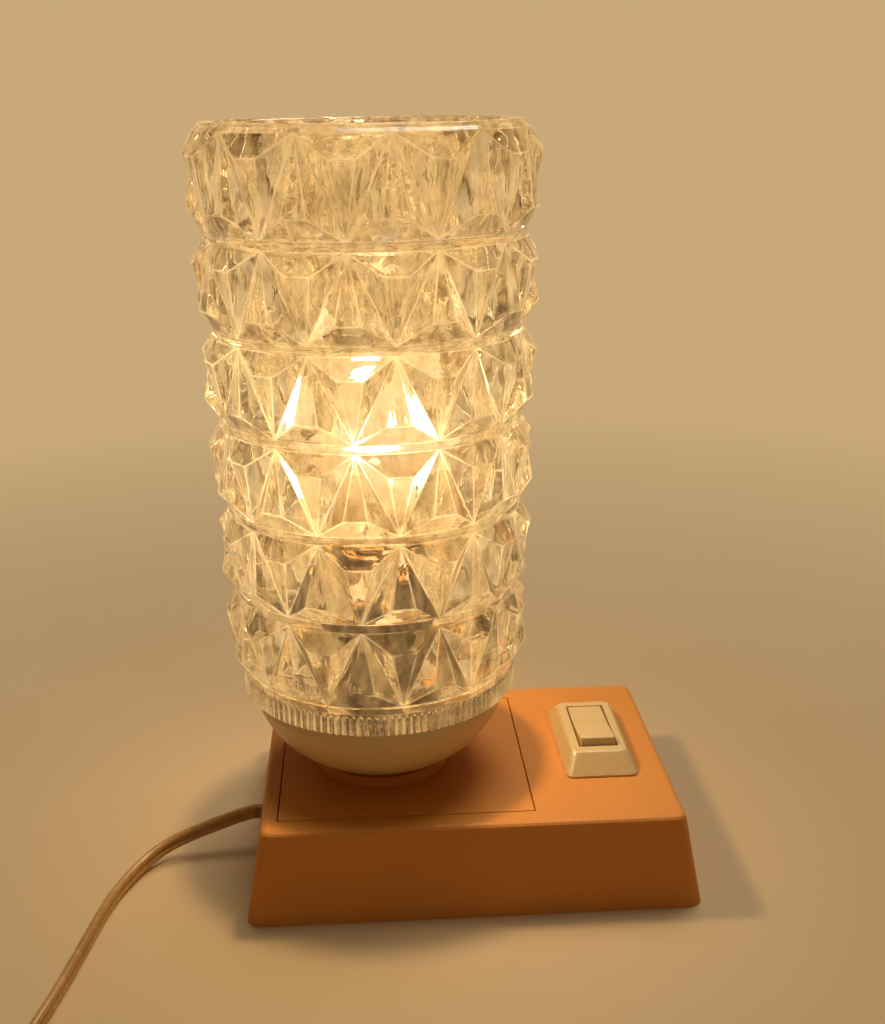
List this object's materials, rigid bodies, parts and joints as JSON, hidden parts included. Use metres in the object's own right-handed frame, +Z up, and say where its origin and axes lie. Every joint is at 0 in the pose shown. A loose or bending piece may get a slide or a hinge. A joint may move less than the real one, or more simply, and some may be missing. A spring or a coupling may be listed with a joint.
{
  "type": "bedside lamp",
  "caption": "Bedside lamp: tapered orange plastic base with a rocker switch and an inset plate, a cream cup, and a screw-in pressed clear glass cylinder over a bulb; flat twin cord.",
  "frame": {"origin": "middle of the base's underside, on the surface the lamp stands on", "axes": "+Z up, +X to the right towards the switch as seen from the front, +Y away from the viewer"},
  "size_m": [0.321, 0.2458, 0.2635],
  "materials": {
    "orange_plastic": "satin moulded",
    "cream_plastic": "satin moulded",
    "dark_plastic": "moulded",
    "shade_glass": "pressed",
    "bulb_glass": "blown",
    "porcelain": "glazed",
    "brass": "rolled",
    "steel": "zinc plated",
    "cord_plastic": "extruded",
    "brown_wire": "extruded",
    "blue_wire": "extruded"
  },
  "bodies": {
    "base": {"base_housing": "orange_plastic", "holder_plate": "orange_plastic", "bottom_cover": "dark_plastic", "cover_screws": "steel", "plate_screws": "steel", "holder_cup": "cream_plastic", "nipple": "brass", "nipple_washer": "steel", "nipple_nut": "brass", "cup_nut": "brass", "lock_nut": "brass", "socket_cap": "dark_plastic", "socket_core": "porcelain", "socket_skirt": "dark_plastic", "screw_shell": "brass", "centre_contact": "brass", "socket_terminals": "brass", "switch_bezel": "cream_plastic", "bezel_screws": "steel", "switch_body": "dark_plastic", "rocker_pin": "steel", "lever_saddle": "brass", "fixed_contact": "brass", "switch_terminals": "brass", "terminal_screws": "steel", "cord_bushing": "dark_plastic", "cord_tail": "cord_plastic", "cord_clamp": "dark_plastic", "clamp_screws": "steel", "live_wire": "brown_wire", "switch_wire": "brown_wire", "neutral_wire": "blue_wire", "cord_run": "cord_plastic", "cord_coil": "cord_plastic", "coil_tie": "dark_plastic", "cord_lead": "cord_plastic", "plug_body": "cord_plastic", "plug_pins": "steel"},
    "shade": {"glass_shade": "shade_glass"},
    "bulb": {"bulb_glass": "bulb_glass", "bulb_cap": "brass", "bulb_insulator": "dark_plastic", "bulb_tip": "steel", "bulb_stem": "bulb_glass", "bulb_leads": "steel", "bulb_filament": "steel"},
    "rocker": {"switch_rocker": "cream_plastic", "plunger": "brass", "plunger_spring": "steel"},
    "lever": {"contact_lever": "brass"}
  },
  "joints": [
    {"name": "shade_lift", "type": "slide", "parent": "base", "child": "shade", "axis": [0, 0, 1], "range_m": [0, 0.15]},
    {"name": "bulb_lift", "type": "slide", "parent": "base", "child": "bulb", "axis": [0, 0, 1], "range_m": [0, 0.19]},
    {"name": "rocker_tilt", "type": "hinge", "parent": "base", "child": "rocker", "pos_m": [0.0502, 0.0034, 0.0368], "axis": [1, 0, 0], "range_deg": [0, 11]},
    {"name": "lever_tilt", "type": "hinge", "parent": "base", "child": "lever", "pos_m": [0.0502, 0.0034, 0.0242], "axis": [1, 0, 0], "range_deg": [-16, 5]}
  ],
  "couplings": [
    {"joint": "lever_tilt", "follows": "rocker_tilt", "ratio": -1}
  ]
}
